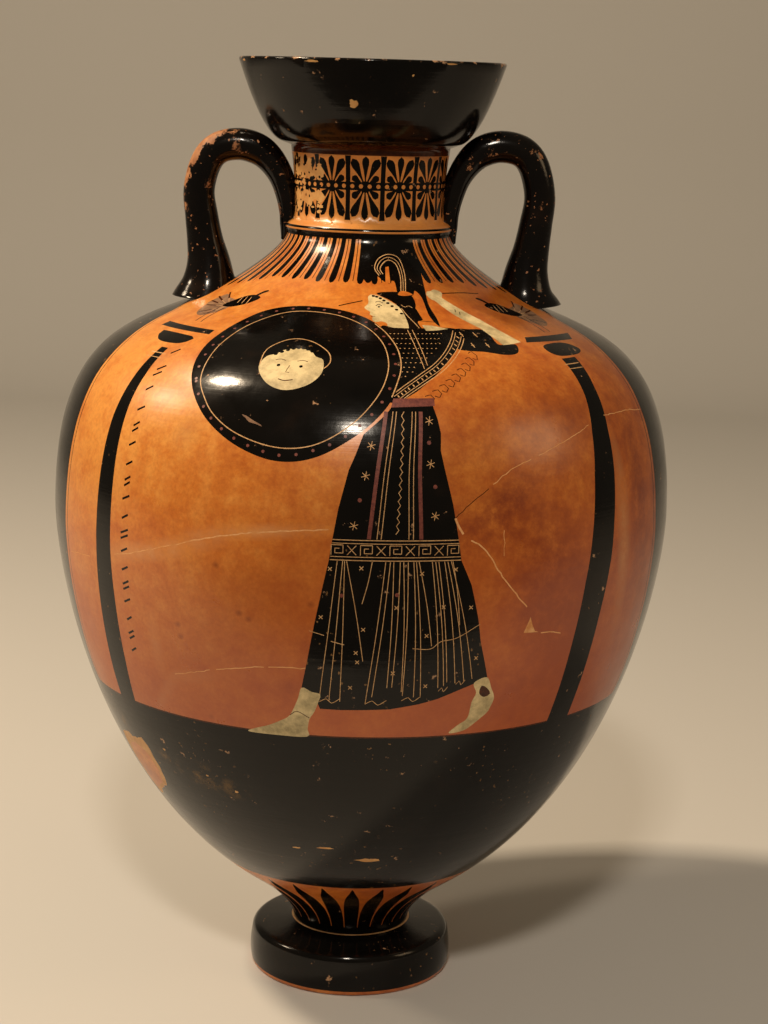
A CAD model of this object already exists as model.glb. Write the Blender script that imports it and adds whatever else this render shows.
import math

import bpy
import numpy as np
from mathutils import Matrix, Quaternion, Vector
from mathutils.geometry import delaunay_2d_cdt


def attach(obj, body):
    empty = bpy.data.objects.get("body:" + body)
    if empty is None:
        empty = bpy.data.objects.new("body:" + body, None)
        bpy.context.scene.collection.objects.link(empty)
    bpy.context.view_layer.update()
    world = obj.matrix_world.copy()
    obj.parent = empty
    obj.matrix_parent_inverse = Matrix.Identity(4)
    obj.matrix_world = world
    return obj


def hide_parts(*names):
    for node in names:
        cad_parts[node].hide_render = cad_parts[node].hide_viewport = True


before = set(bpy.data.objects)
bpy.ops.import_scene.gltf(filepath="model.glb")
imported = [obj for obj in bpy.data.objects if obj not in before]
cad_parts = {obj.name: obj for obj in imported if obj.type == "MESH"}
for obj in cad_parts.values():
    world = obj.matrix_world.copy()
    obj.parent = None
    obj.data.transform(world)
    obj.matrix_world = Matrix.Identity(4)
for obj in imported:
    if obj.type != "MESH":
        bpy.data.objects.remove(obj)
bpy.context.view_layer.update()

# The thrown form.
# The vessel was thrown on a wheel in parts, foot, body, neck and mouth, and luted together, so its form
# is one outline turned about Z. All sizes in this section are millimetres from the foot's underside.
FOOT_RADIUS, FOOT_BASE_RADIUS, FOOT_HEIGHT, FOOT_ROUND = 69.5, 68.0, 29.0, 6.0
RING_WIDTH, UNDERSIDE_DEPTH = 17.0, 12.0
STEM = np.array([40.0, 32.5])
LOW_TURN, LOW_LEAN = np.array([76.99, 72.69]), 0.963
BELLY = np.array([204.7, 328.0])
HIGH_TURN, HIGH_LEAN = np.array([110.72, 464.0]), 1.164
NECK_ROOT = np.array([53.6, 509.0])
COLLAR_HEIGHT, COLLAR_BULGE = 7.5, 3.0
NECK_RADIUS, NECK_HEIGHT, NECK_FLARE, NECK_WALL = 49.5, 47.5, 2.7, 10.0
MOUTH_STEP, MOUTH_BASE, MOUTH_RADIUS, MOUTH_HEIGHT = 2.0, 57.6, 87.0, 53.5
LIP_WIDTH, LIP_ROUND = 10.5, 1.5
WALL, FLOOR = 7.8, 54.5
# How far the outline's curves reach before they turn, as shares of its height under and over the belly.
LOW_PULLS, HIGH_PULLS = (0.054, 0.02, 0.442, 0.114), (0.614, 0.281, 0.12, 0.07)


def bezier(a, b, c, d, count):
    """Points after the first on a cubic: (1-t)^3 a + 3(1-t)^2 t b + 3(1-t) t^2 c + t^3 d."""
    t = (np.arange(1, count + 1) / count)[:, None]
    s = 1 - t
    a, b, c, d = (np.asarray(p, float) for p in (a, b, c, d))
    return s**3 * a + 3 * s * s * t * b + 3 * s * t * t * c + t**3 * d


def lean(angle, side):
    """The unit direction that leans out (side 1) or in (side -1) from straight up by an angle."""
    return np.array([side * math.sin(angle), math.cos(angle)])


def outer_line():
    """The outside from the stem up to the lip as (radius, height), which rises all the way."""
    low, high = lean(LOW_LEAN, 1), lean(HIGH_LEAN, -1)
    up = np.array([0, 1.0])
    rise = BELLY[1] - STEM[1]
    fall = NECK_ROOT[1] - BELLY[1]
    path = [STEM[None]]
    one, two, three, four = LOW_PULLS
    path.append(bezier(STEM, STEM + up * one * rise, LOW_TURN - low * two * rise, LOW_TURN, 60))
    path.append(bezier(LOW_TURN, LOW_TURN + low * three * rise, BELLY - up * four * rise, BELLY, 200))
    one, two, three, four = HIGH_PULLS
    path.append(bezier(BELLY, BELLY + up * one * fall, HIGH_TURN - high * two * fall, HIGH_TURN, 200))
    path.append(bezier(HIGH_TURN, HIGH_TURN + high * three * fall,
                       NECK_ROOT - up * four * fall, NECK_ROOT, 60))
    share = np.arange(1, 31) / 30
    roll = NECK_ROOT[0] + (NECK_RADIUS - NECK_ROOT[0]) * share
    roll = roll + COLLAR_BULGE * np.sin(np.pi * share).clip(0) ** 0.8
    path.append(np.stack([roll, NECK_ROOT[1] + COLLAR_HEIGHT * share], 1))
    bottom = np.array([NECK_RADIUS, NECK_ROOT[1] + COLLAR_HEIGHT])
    top = bottom + (NECK_FLARE, NECK_HEIGHT)
    middle = bottom + (-0.3, NECK_HEIGHT / 2)
    path.append(bezier(bottom, middle, middle, top, 50))
    base = np.array([MOUTH_BASE, top[1] + MOUTH_STEP])
    out = MOUTH_RADIUS - MOUTH_BASE
    rim = base + (out, MOUTH_HEIGHT - LIP_ROUND)
    path.append(base[None])
    path.append(bezier(base, base + (0.3 * out, 0.03 * MOUTH_HEIGHT),
                       base + (0.63 * out, 0.36 * MOUTH_HEIGHT), rim, 80))
    return np.vstack(path)


OUTER = outer_line()
BOTTOM, TOP = OUTER[0, 1], OUTER[-1, 1]
RIM = TOP + LIP_ROUND


def radius_at(z):
    """The outside's radius at a height."""
    return np.interp(z, OUTER[:, 1], OUTER[:, 0])


def slope_at(z):
    """How fast the outside's radius grows with height there."""
    step = 0.6
    return (radius_at(z + step) - radius_at(z - step)) / (2 * step)


# The painting.
# The picture is laid out on the unrolled outside: x runs round the vessel, in millimetres at UNIT
# radius with 0 at the front, and z is the height. Each painted shape is an outline with a paint number.
UNIT = 200.0
HALF_TURN = math.pi * UNIT
PAINT_NAMES = "CLAY SLIP RED WHITE SCRATCH THIN FILL BARE DUN".split()
CLAY, SLIP, RED, WHITE, SCRATCH, THIN, FILL, BARE, DUN = range(9)
rng = np.random.default_rng(7)
shapes = []


def points(text):
    """The points of a written outline, x,z pairs in millimetres."""
    return np.array([[float(n) for n in pair.split(",")] for pair in text.split()])


def smooth(path, closed=False, step=1.6):
    """A Catmull-Rom curve through the points, sampled about every step millimetres."""
    path = np.asarray(path, float)
    if closed:
        ends = np.vstack([path[-1:], path, path[:2]])
    else:
        ends = np.vstack([2 * path[:1] - path[1:2], path, 2 * path[-1:] - path[-2:-1]])
    out = []
    for a, b, c, d in zip(ends, ends[1:], ends[2:], ends[3:]):
        count = max(1, int(np.linalg.norm(c - b) / step))
        t = (np.arange(count) / count)[:, None]
        out.append(0.5 * (2 * b + (c - a) * t + (2 * a - 5 * b + 4 * c - d) * t * t
                          + (3 * b - a - 3 * c + d) * t**3))
    if not closed:
        out.append(ends[-2:-1])
    return np.vstack(out)


def stretch(z):
    """Real millimetres round and up the wall for one millimetre of the layout in x and z."""
    return radius_at(z) / UNIT, np.sqrt(1 + slope_at(z) ** 2)


def stroke(path, width):
    """The outline of a brush or scratch line: the path moved half its real width to each side."""
    path = np.asarray(path, float)
    sx, sz = stretch(path[:, 1])
    way = np.gradient(path, axis=0) * np.stack([sx, sz], 1)
    way /= np.maximum(np.hypot(way[:, 0], way[:, 1]), 1e-9)[:, None]
    half = width / 2
    side = np.stack([-way[:, 1] * half / sx, way[:, 0] * half / sz], 1)
    return np.vstack([path + side, (path - side)[::-1]])


def even(outline, step=3.0):
    """A closed outline with points added on its long sides, so that it follows the round wall."""
    out = []
    for a, b in zip(outline, np.roll(outline, -1, 0)):
        count = max(1, math.ceil(np.linalg.norm(b - a) / step))
        out.append(a + (b - a) * (np.arange(count) / count)[:, None])
    return np.vstack(out)


def clip(outline, side):
    """The part of an outline inside the seam on one side (Sutherland and Hodgman's cut)."""
    inside = outline[:, 0] * side <= HALF_TURN
    if inside.all():
        return outline
    kept = []
    for i in range(len(outline)):
        a, b = outline[i - 1], outline[i]
        if inside[i] != inside[i - 1]:
            share = (side * HALF_TURN - a[0]) / (b[0] - a[0])
            kept.append(np.array([side * HALF_TURN, a[1] + (b[1] - a[1]) * share]))
        if inside[i]:
            kept.append(b)
    return np.array(kept).reshape(-1, 2)


def paint(number, outline):
    """Adds a painted outline, cut in two where it crosses the seam at the back."""
    outline = even(np.asarray(outline, float))
    for shift in (0, 2 * HALF_TURN, -2 * HALF_TURN):
        moved = outline + (shift, 0)
        if moved[:, 0].max() <= -HALF_TURN or moved[:, 0].min() >= HALF_TURN:
            continue
        for side in (-1, 1):
            moved = clip(moved, side)
        if len(moved) > 2:
            shapes.append((number, moved))


def blob(text):
    """A closed smooth outline through written points."""
    return smooth(points(text), closed=True)


def line(text, width):
    """A smooth stroke through written points."""
    return stroke(smooth(points(text)), width)


def scratch(path, width):
    """A line cut through the slip with a point."""
    paint(SCRATCH, stroke(path, width))


def rows_of(text):
    """Written rows as (paint number, kind, text of points). A row that goes on starts with spaces."""
    for row in text.replace("\n    ", " ").strip().split("\n"):
        name, kind, spots = row.split(None, 2)
        yield PAINT_NAMES.index(name), kind, spots


def draw(text, turn=0.0):
    """Paints written rows. Their kind is smooth, flat or a line's real width in millimetres."""
    for number, kind, spots in rows_of(text):
        if kind == "smooth":
            outline = blob(spots)
        elif kind == "flat":
            outline = points(spots)
        else:
            outline = line(spots, float(kind))
        paint(number, outline + (turn, 0))


def disc(x, z, real, sides=10, squash=1.0):
    """A small round spot of that real radius."""
    sx, sz = stretch(np.array([z]))
    turn = np.arange(sides) * 2 * math.pi / sides
    return np.stack([x + real * np.cos(turn) / sx, z + squash * real * np.sin(turn) / sz], 1)


# Bands that run right round, as (paint, lower height, upper height).
BANDS = [
    (SLIP, BOTTOM, 38.0),
    (CLAY, 38.0, 87.5),
    (SLIP, 87.5, 216.2),
    (THIN, 216.2, 217.2),
    (CLAY, 217.2, 507.0),
    (SLIP, 507.0, 510.8),
    (CLAY, 510.8, 512.0),
    (SLIP, 512.0, 513.4),
    (CLAY, 513.4, 559.6),
    (THIN, 559.6, 566.2),
    (SLIP, 566.2, TOP),
]

# Rays round the stem.
RAYS = 29
RAY_PITCH = 2 * HALF_TURN / RAYS
for k in range(RAYS):
    x = 2.0 + (k - RAYS // 2) * RAY_PITCH
    half = points("-0.47,37 -0.46,48 -0.40,60 -0.27,72 -0.10,80 0,85.5")
    half[:, 0] *= RAY_PITCH
    both = np.vstack([half, (half * (-1, 1))[-2::-1]])
    paint(SLIP, smooth(both, step=3.0) + (x, 0))

# The two pictures fill the front and the back. Between them, under each handle, the wall is black.
EDGE = points("210,205 238,222 239,270 236,310 234,350 233,388 234,416 240,438 262,455 285,466 290,507")
for side in (-1, 1):
    front = smooth(EDGE) * (side, 1)
    back = (smooth(EDGE) * (-side, 1)) + (side * HALF_TURN, 0)
    paint(SLIP, np.vstack([front, back[::-1]]))
    for edge, away in ((front, side), (back, -side)):
        inner = edge[4:] - (away * 4.2, 0)
        paint(SLIP, stroke(inner, 0.8))

# Tongues round the shoulder, each a rounded black leaf between two thin lines.
TONGUES = 54
TONGUE_PITCH = 2 * HALF_TURN / TONGUES
for k in range(TONGUES):
    x = (k + 0.5) * TONGUE_PITCH - HALF_TURN
    away = abs(math.remainder(x, HALF_TURN))
    if away > 272:
        continue
    foot = 481.5 - 9.0 * max(0.0, away - 170) / 100 + rng.uniform(-0.5, 0.5)
    width = TONGUE_PITCH * 0.25
    leaf = points("-1,508 -1,500 -1,488 -0.95,484 -0.6,482.2 0,481.6 0.6,482.2 0.95,484 1,488 1,500 1,508")
    leaf[:, 0] = leaf[:, 0] * width * (0.9 + 0.12 * (508 - leaf[:, 1]) / 26) + x
    leaf[:, 1] = 508 - (508 - leaf[:, 1]) * (508 - foot) / 26.4
    paint(SLIP, leaf)
    middle = x + TONGUE_PITCH / 2
    paint(THIN, stroke(smooth([[middle, 507.5], [middle, 495], [middle, foot + 1]], step=5), 0.55))

# A chain of palmettes and lotus bars round the neck, the same above and below a row of links.
UNITS = 14
PITCH = 2 * HALF_TURN / UNITS
CHAIN = 540.0
CHAIN_START = math.radians(-3.3) * UNIT
LINKS = 4


def petal(angle, length, width):
    """A club-shaped petal from the origin at an angle from straight up, in real millimetres."""
    t = np.linspace(0, 1, 12)
    swell = 0.20 + 0.80 * np.clip((t - 0.25) / 0.5, 0, 1) ** 1.3
    tip = np.sqrt(np.clip(1 - (np.clip(t - 0.80, 0, 1) / 0.2) ** 2, 0, 1))
    fat = width / 2 * swell * tip
    reach = length * t
    c, s = math.cos(angle), math.sin(angle)
    right = np.stack([reach * s + fat * c, reach * c - fat * s], 1)
    left = np.stack([reach * s - fat * c, reach * c + fat * s], 1)
    return np.vstack([right, left[-2::-1]])


PALMETTE = [petal(0.0, 19.2, 4.4)]
for side in (-1, 1):
    PALMETTE.append(petal(side * 0.44, 19.4, 5.2))
    PALMETTE.append(petal(side * 0.92, 10.6, 4.3))
BAR = points("-1.5,0 -1.5,14 -1.9,19.4 1.9,19.4 1.5,14 1.5,0")
HUB = points("-2.6,0 -2.2,3.4 2.2,3.4 2.6,0")
across = UNIT / radius_at(CHAIN)
for k in range(UNITS):
    x = CHAIN_START + (k - UNITS // 2) * PITCH
    for way in (1, -1.10):
        for part in PALMETTE + [HUB]:
            paint(SLIP, part * (across, way) + (x, CHAIN))
        paint(SLIP, BAR * (across, way) + (x + PITCH / 2, CHAIN))
paint(SLIP, points("-628,537.6 628,537.6 628,542.8 -628,542.8"))
for k in range(UNITS * LINKS):
    x = CHAIN_START + (k + 0.5) * PITCH / LINKS
    paint(CLAY, disc(math.remainder(x, 2 * HALF_TURN), CHAIN + 0.2, 1.4, 8))

# Columns with a bird on each frame both pictures.
SHAFT_LEFT = "-179,441 -180.5,423 -183,400 -184.5,360 -186,320 -191,267 -194,235 -195,214"
SHAFT_LEFT_IN = "-176,214 -173,245 -171,285 -170,330 -169.5,365 -170,408 -169.5,426 -170.5,441"
SHAFT_RIGHT = "170,441 166,421 160,400 156,375 153.5,345 149.5,310 147,270 145.5,240 143.5,214"
SHAFT_RIGHT_IN = "165,214 167,245 169,285 173,330 176,375 177,400 181.5,425 188,441"
COLUMNS = [
    (SHAFT_LEFT + " " + SHAFT_LEFT_IN, "-205,446.5 -207,448.5 -161,448.2 -158,446 -168,443.8 -192,443.8",
     "-225,450.3 -223,452.6 -147,452.4 -146.5,450.2"),
    (SHAFT_RIGHT + " " + SHAFT_RIGHT_IN, "163.5,445.7 169,448.3 196,448.2 208,444.5 198,442.2 172,442.4",
     "152,450.2 158,452.6 230,451.6 219,448.8"),
]


def bird(x, z, way):
    """A plain cock: a slim body, a spread tail of worn feathers, a head with a beak, and two legs."""
    fan = points("-6,-4.8 -22,-9.6 -40,-8.8 -52,-5.2 -58,-2.6 -50,1.6 -30,0.4 -12,-0.6")
    paint(DUN, smooth(fan * (way, 1), closed=True) + (x, z))
    for out, up in ((-24, -9), (-38, -8.6), (-50, -5), (-58, -2.8), (-60, -0.2), (-50, 2.8)):
        feather = points("-9,-3.4 %d,%.1f" % (out, up))
        root = feather[1] * 0.55 + feather[0] * 0.45
        paint(THIN, stroke(np.array([root, feather[1]]) * (way, 1) + (x, z), 1.3))
        scratch(np.array([feather[0], root]) * (way, 1) + (x, z), 0.4)
    body = points("-22,-3.4 -6,-3.9 10,-1.8 19,0.6 22,2.6 12,3.6 0,3.2 -12,1.0")
    paint(SLIP, smooth(body * (way, 1), closed=True) + (x, z))
    neck = points("13,3.2 18,5 24,6.4 21,6.9 15,6.2 9,3.6")
    paint(SLIP, smooth(neck * (way, 1), closed=True) + (x, z))
    for foot in (-11, -20):
        leg = points("%d,-4.6 %d,-9.6 %d,-12.4" % (foot, foot + 1, foot + 4))
        paint(THIN, stroke(leg * (way, 1) + (x, z), 0.9))
    for k in range(3):
        mark = points("%d,2.4 %d,-1.4" % (-10 + k * 8, -4 + k * 8))
        scratch(mark * (way, 1) + (x, z), 0.5)


def columns(turn):
    """Both columns of a picture, turned that far round the vessel."""
    for shaft, cushion, slab in COLUMNS:
        paint(SLIP, points(shaft) + (turn, 0))
        paint(SLIP, blob(cushion) + (turn, 0))
        paint(SLIP, points(slab) + (turn, 0))
        top = points(shaft)[0]
        top = top + (turn + (3 if top[0] < 0 else 6), -3.0)
        scratch([top + (-9, 0), top + (9, 0)], 0.7)
        scratch([top + (-9, -2.4), top + (9, -2.4)], 0.5)


columns(0.0)
bird(-172.0, 467.5, 1)
bird(188.0, 466.0, -1)

# The robed and helmeted striding figure. Its skin is added white and its robe is slip with scratches.
draw("""
SLIP smooth -8,507.5 -13.7,499 -12,488.3 -4,483 3.5,482 14.9,486 28.9,482.5 44,482.9 44.9,474.8 64.4,475.2
    72,477.8 77,474 72.8,464.5 76,459.5 80,464 81.5,471 92,481 99.7,488.5 105,499.3 97,507.5
CLAY flat 29,481.8 33.5,491 40,491.3 37,481.8
SCRATCH 0.55 57,477.5 66.5,487.4 64.9,496 43.9,498.4 21.7,495.8 13,490.5 20,486.2
SCRATCH 0.4 53.6,477.5 61.6,486.8 60,493.9 43.3,496.7 26,494.6 17.6,490.2 23.4,486.8
SCRATCH 0.55 50,477.5 57,486 55.3,492.6 42.6,495 30.5,493.3 23.1,489.9 27.3,487
SLIP smooth 14,476.4 41.4,477.3 62.2,476 63.5,470.5 55.5,467.4 42.4,469.4 29.6,473
SLIP smooth 38,471 50,471.6 60,469.4 62,466 62.6,462.9 55,461.6 56,456.6 44,457.4 42,464.6
CLAY smooth 44,475.9 50,477.7 58,477.4 66,475.9 57,475.2 49,475.2
""")
# The head in profile, with curls under the helmet's brim, a brow and an eye.
head = points("2,474.6 9,475.6 17,475 29.3,472.6 40.4,469.2 43.9,464.6 42,458.4 31,458 20.2,458.4 22,460.6 "
              "17,461.9 9,461.6 6.4,463 7.2,464.4 3.6,465.3 4.6,466.4 -2.6,468.6 2.2,471")
paint(WHITE, smooth(head, closed=True, step=0.9))
for k in range(8):
    share = k / 7
    paint(SLIP, disc(9 + 32 * share, 474.9 - 9.0 * share**1.6, 1.15, 8))
paint(SLIP, line("11.5,469.7 15,470.5 19,469.8", 0.6))
paint(SLIP, disc(15.2, 469.2, 0.8, 8))
draw("""
SLIP 0.5 11,471.6 16,472.1 21,471.2
THIN 0.45 5.2,464.3 10,464.2
""")
# Scratched edges of the helmet and its neck guard, the dress's shoulder and its thin collar line.
draw("""
SCRATCH 0.5 4,475.7 13,475.2 25,473.4 37,470.3
SCRATCH 0.5 43,468.6 47,464.8 52,460.6 54.4,457.2
SCRATCH 0.4 44,470.4 48,469.2 53,469.9 57,468.8
SLIP 0.6 58,462.3 68,461.9 76.4,461.5
SLIP 1.0 -34.8,469.1 -20,470.8 -5.6,472.2
SLIP 0.9 112,476.2 150,475.9 181.8,474.8
WHITE smooth 86.5,475.4 90,477.2 97,477.6 104.7,478.3 113.4,476.6 109,474.4 104.4,473 96,472.4 90,473
SLIP smooth 77,449.2 88,457.6 105,457.9 121.8,456.8 119,450.6 128,450 137.2,449.6 133,446.6 126.4,445.2
    116,445.2 100,447
WHITE flat 92.2,473.2 105.8,474.6 119,468.6 132.7,462 146,450.6 135,450 123.6,449.8 119.7,457.9
    105.8,464.6
SLIP 0.5 113,467.6 110,466.2
SLIP 0.5 116,466.2 113,464.8
""")
# The breastplate is cut with rows of small scales and has a border and curls along its lower edge.
TORSO = blob("14,459 28,459 41.8,458.8 60,458.8 78.9,458.9 90,458.4 95.2,456.9 91,454 81.4,450.4 70,446 "
             "60,441 43.9,432.5 31.5,426 17.5,421.6 8.6,427.9 10,445")
paint(SLIP, TORSO)


def within(outline, spots):
    """Which spots lie inside an outline, by counting crossings of its sides."""
    hit = np.zeros(len(spots), bool)
    low, high = outline.min(0), outline.max(0)
    near = np.flatnonzero(((spots >= low) & (spots <= high)).all(1))
    if not len(near):
        return hit
    x, y = spots[near].T
    found = np.zeros(len(near), bool)
    for a, b in zip(outline, np.roll(outline, -1, 0)):
        if a[1] == b[1]:
            continue
        crosses = (a[1] > y) != (b[1] > y)
        found ^= crosses & (x < (b[0] - a[0]) * (y - a[1]) / (b[1] - a[1]) + a[0])
    hit[near] = found
    return hit


SCALE_ROW, SCALE_STEP = 2.3, 3.8
rows = np.arange(424, 458, SCALE_ROW)
spots = np.arange(0, 95, SCALE_STEP)
scale = np.array([[x + (k % 2) * SCALE_STEP / 2, z] for k, z in enumerate(rows) for x in spots])
above = np.interp(scale[:, 0], [17, 29, 42, 56, 76, 92], [430, 435.5, 441, 447.5, 456.5, 462])
scale = scale[within(TORSO, scale) & (scale[:, 1] > above) & (scale[:, 0] > 20)]
for x, z in scale:
    paint(SCRATCH, disc(x, z, 0.55, 5, 0.7))
border = points("86.6,457.5 71.9,450.9 52.7,442.1 40.3,437.0 27.5,431.0 18.5,426.0")
for shift, width in ((0.0, 0.5), (1.5, 0.4), (4.6, 0.4), (6.1, 0.5)):
    scratch(smooth(border + (shift * 0.72, -shift * 0.62)), width)
for share in np.linspace(0.04, 0.96, 18):
    at = np.array([np.interp(share * 5, range(6), border[:, k]) for k in (0, 1)]) + (2.2, -1.9)
    scratch(at + [[-0.5, 0.5], [0.5, -0.5]], 0.75)
paint(WHITE, points("58,460.3 68,460 77,459 83,458.3 70,457.7 59,457.6"))
for x, z in ((92, 455.6), (106, 455.2), (94, 450.4), (108, 450.2)):
    scratch([[x - 1.5, z], [x + 1.5, z]], 0.5)
    scratch([[x, z - 1.1], [x, z + 1.1]], 0.6)
draw("""
SCRATCH 0.45 40.6,458 42,448 43.4,439.4
SCRATCH 0.45 45.3,458 46,448 46.4,441
""")
for k in range(9):
    share = k / 8
    x, z = 84 - 44 * share, 446.6 - 21.5 * share
    curl = points("0,0 4,0.8 6.2,-1.2 4.4,-3.2 1.2,-2.4") + (x, z)
    paint(THIN, stroke(smooth(curl), 0.6))
# The belt and the long robe, with red bands and fine lines down its front.
draw("""
RED flat 19,424 46,424.2 45.6,420 17.2,419
SLIP flat 17.4,419.2 44.4,420 46.5,413 47.8,405 47,395.5 49.1,384.5 53.7,364.5 57.6,342 59.2,331.3
    66.2,316.1 72.5,294.1 75.8,279.1 84,255 64.9,248 52,243 40.1,239.9 22,236.8 5,236.1 -10,235.7
    -23,235.9 -24.4,239.6 -22.8,245 -34.5,249 -30.4,267.5 -26.1,290 -17.8,331 -16,343.8 -13.2,361.5
    -7.9,384 -4.8,391.3 0.2,404.2 14.3,415.7
""")
for a, b, c, width, number in (
        (14.0, 9.0, 4.8, 2.3, RED), (36.0, 34.0, 35.0, 2.3, RED), (18.4, 13.2, 9.4, 0.45, SCRATCH),
        (20.6, 15.6, 11.8, 0.45, SCRATCH), (30.6, 27.6, 27.8, 0.45, SCRATCH),
        (32.8, 30.2, 30.4, 0.45, SCRATCH)):
    paint(number, stroke(smooth([[a, 417], [b, 384], [c, 344.4]]), width))
wavy = [[24.6 - 0.052 * (417 - z) + 0.8 * (-1) ** k, z] for k, z in enumerate(np.arange(417, 345, -2.4))]
scratch(smooth(wavy), 0.45)


def cross(x, z, half_x, half_z, width):
    """Two scratched lines that cross in x, z."""
    for way in (-1, 1):
        scratch([[x - half_x, z + way * half_z], [x + half_x, z - way * half_z]], width)


# A band round the skirt: square spirals and crosses in turn between two pairs of lines.
BAND_Z, BAND_PITCH, FINE = 337.6, 8.4, 0.42
for z, width in ((343.6, 0.5), (341.6, 0.4), (333.6, 0.4), (331.6, 0.5)):
    share = (z - 331) / 13
    scratch([[-17.3 + share * 1.4, z], [59.0 - share * 1.6, z]], width)
for k in range(9):
    x = -13.2 + k * BAND_PITCH
    if k % 2:
        cross(x, BAND_Z, 2.6, -2.8, FINE)
    else:
        spiral = points("-3.4,-3 -3.4,3 3.4,3 3.4,-1.8 -1.2,-1.8 -1.2,1 1.4,1") + (x, BAND_Z)
        for a, b in zip(spiral, spiral[1:]):
            scratch([a, b], FINE)
# Folds of the skirt, as shares of its width at the band and at the hem, and how far down they reach.
FOLDS = """.06 .088 .97  .10 .14 .97  .115 .20 .97  .13 .36 .68  .32 .19 .28  .42 .335 .98
.455 .366 .94  .48 .447 .88  .528 .472 .88  .554 .528 .92  .588 .534 .95  .63 .596 .97
.65 .633 .97  .67 .72 .62  .77 .727 .95  .796 .758 .95  .82 .776 .93  .865 .82 .96
.89 .868 .97  .917 .913 .98  .93 .86 .5"""
FOLDS = np.array(FOLDS.split(), float).reshape(-1, 3)
HEM_LEFT, HEM_WIDTH = -34, 118
HEM = points("-34,248 -22,237 5,237.5 40,241 65,249 84,256")
PLEATS = points("-34,249 -22,241 5,239.5 40,243 65,252 84,259")
for top, low, reach in FOLDS:
    a = np.array([-17.5 + 77 * top, 331.0])
    x = HEM_LEFT + HEM_WIDTH * low
    b = np.array([x, np.interp(x, *HEM.T) + 1.5])
    b = a + (b - a) * reach
    scratch(smooth([a, (a + b) / 2 + (0.5, 0), b]), FINE)
# Pleats along the hem, from one share of its width to another.
for left, right in ((0.09, 0.2), (0.335, 0.45), (0.53, 0.633), (0.727, 0.776), (0.82, 0.87)):
    x0, x1 = HEM_LEFT + HEM_WIDTH * left, HEM_LEFT + HEM_WIDTH * right
    z = np.interp((x0 + x1) / 2, *PLEATS.T)
    wave = [[x0, z], [x0 + (x1 - x0) * 0.35, z + 2.2], [x0 + (x1 - x0) * 0.6, z - 0.6], [x1, z + 2.6]]
    scratch(smooth(wave), FINE)
draw("""
SCRATCH 0.45 -29,287 -20,284.5
SCRATCH 0.45 -16,281 -8,279
SCRATCH 0.4 33,277 44,276.5 50,281 60,283 74,291
""")
# Small crosses, stars and red dots are strewn over the robe.
for x, z in points("-17,326 1,327 36,324 56,326 22,303 50,303 67,302 3,289 41,285 -1,274 74,269 22,261 "
                   "43,252 -4,251 -22,296 0,268"):
    cross(x, z, 1.1, 1.1, 0.5)
for x, z in points("2,381 43,358 -4,352 41,412 40.5,388 5,398"):
    for angle in (0.3, 1.35, 2.4):
        c, s = 2.6 * math.cos(angle), 2.6 * math.sin(angle)
        scratch([[x - c, z - s], [x + c, z + s]], FINE)
for x, z in ((-1, 367), (43, 375), (40, 400), (22, 311), (-10, 310)):
    paint(RED, disc(x, z, 1.3, 8))
# The feet under the hem.
draw("""
WHITE smooth -34.3,249.4 -28,247 -22.6,245.6 -24.2,239.6 -27,233 -30.2,228 -31.6,221 -32.1,215.9 -52,215.2
    -73.5,215.4 -66,219 -58.7,221.4 -50,225.5 -43.1,230 -37.4,240.9
WHITE smooth 75.1,252.2 83.6,255.4 88,248 91.5,241 90,234 87.8,230.2 79.1,223 73.2,219.5 63.3,218.6 69,224
    74.7,228.3 75.8,239.3 77.8,245.5
THIN smooth 81,250 85,248 88,244 84,242 80,245
THIN 0.5 -43,230 -38,233 -30,229
""")

# The round shield, with a ring scratched inside its rim, red dots on the rim and a pale mask.
SHIELD = blob("-125.7,428 -133.5,439 -137,449 -133,458.6 -117,464.9 -78.7,468 -29,466.9 6.3,462 23.1,453.9 "
              "27.7,443.6 23.8,432.6 16.4,421.2 4.1,409.4 -12.6,398 -27.7,390.4 -43,387 -59.3,388 "
              "-79.9,394.6 -98.9,404.8 -113.1,415.7")
RING = blob("-117.3,427.5 -122,438 -123.6,448.4 -118.5,457 -100.2,463 -72.5,465.4 -32.4,464.3 -2.7,459.8 "
            "13.3,452.9 17.6,443.5 14,432.5 5.3,421 -7.9,409 -25.7,398.6 -42.5,394.7 -60.2,395.7 "
            "-81.1,401.4 -97.6,409.8 -108.4,418.6")
paint(SLIP, SHIELD)
# The ring is scratched in six strokes, because an outline can't close on itself.
ring = np.vstack([RING, RING[:1]])
for k in range(6):
    scratch(ring[len(RING) * k // 6:len(RING) * (k + 1) // 6 + 1], 0.6)
paint(SCRATCH, line("9,460.8 17,457.6 22,454.2 26,449.6 27,443.6 25.6,438 22.6,432.6 20,428 18,424.6", 0.7))
rim = points("-121.5,428 -127.5,439 -130,449 -125.5,457.8 -108.5,464 -75.5,466.8 -30.7,465.7 1.8,460.9 "
             "18.2,453.4 22.7,443.5 18.9,432.5 10.8,421.1 -1.9,409.2 -19.1,398.2 -42.7,390.8 -59.7,391.8 "
             "-80.5,398 -98.2,407.3 -110.7,417.1")
rim = smooth(rim, closed=True, step=0.5)
gone = np.cumsum(np.hypot(*(np.gradient(rim, axis=0) * np.stack(stretch(rim[:, 1]), 1)).T))
for reach in np.arange(0, gone[-1], 10.3):
    x, z = rim[np.searchsorted(gone, reach) % len(rim)]
    paint(RED, disc(x, z, 1.0, 8))
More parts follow.
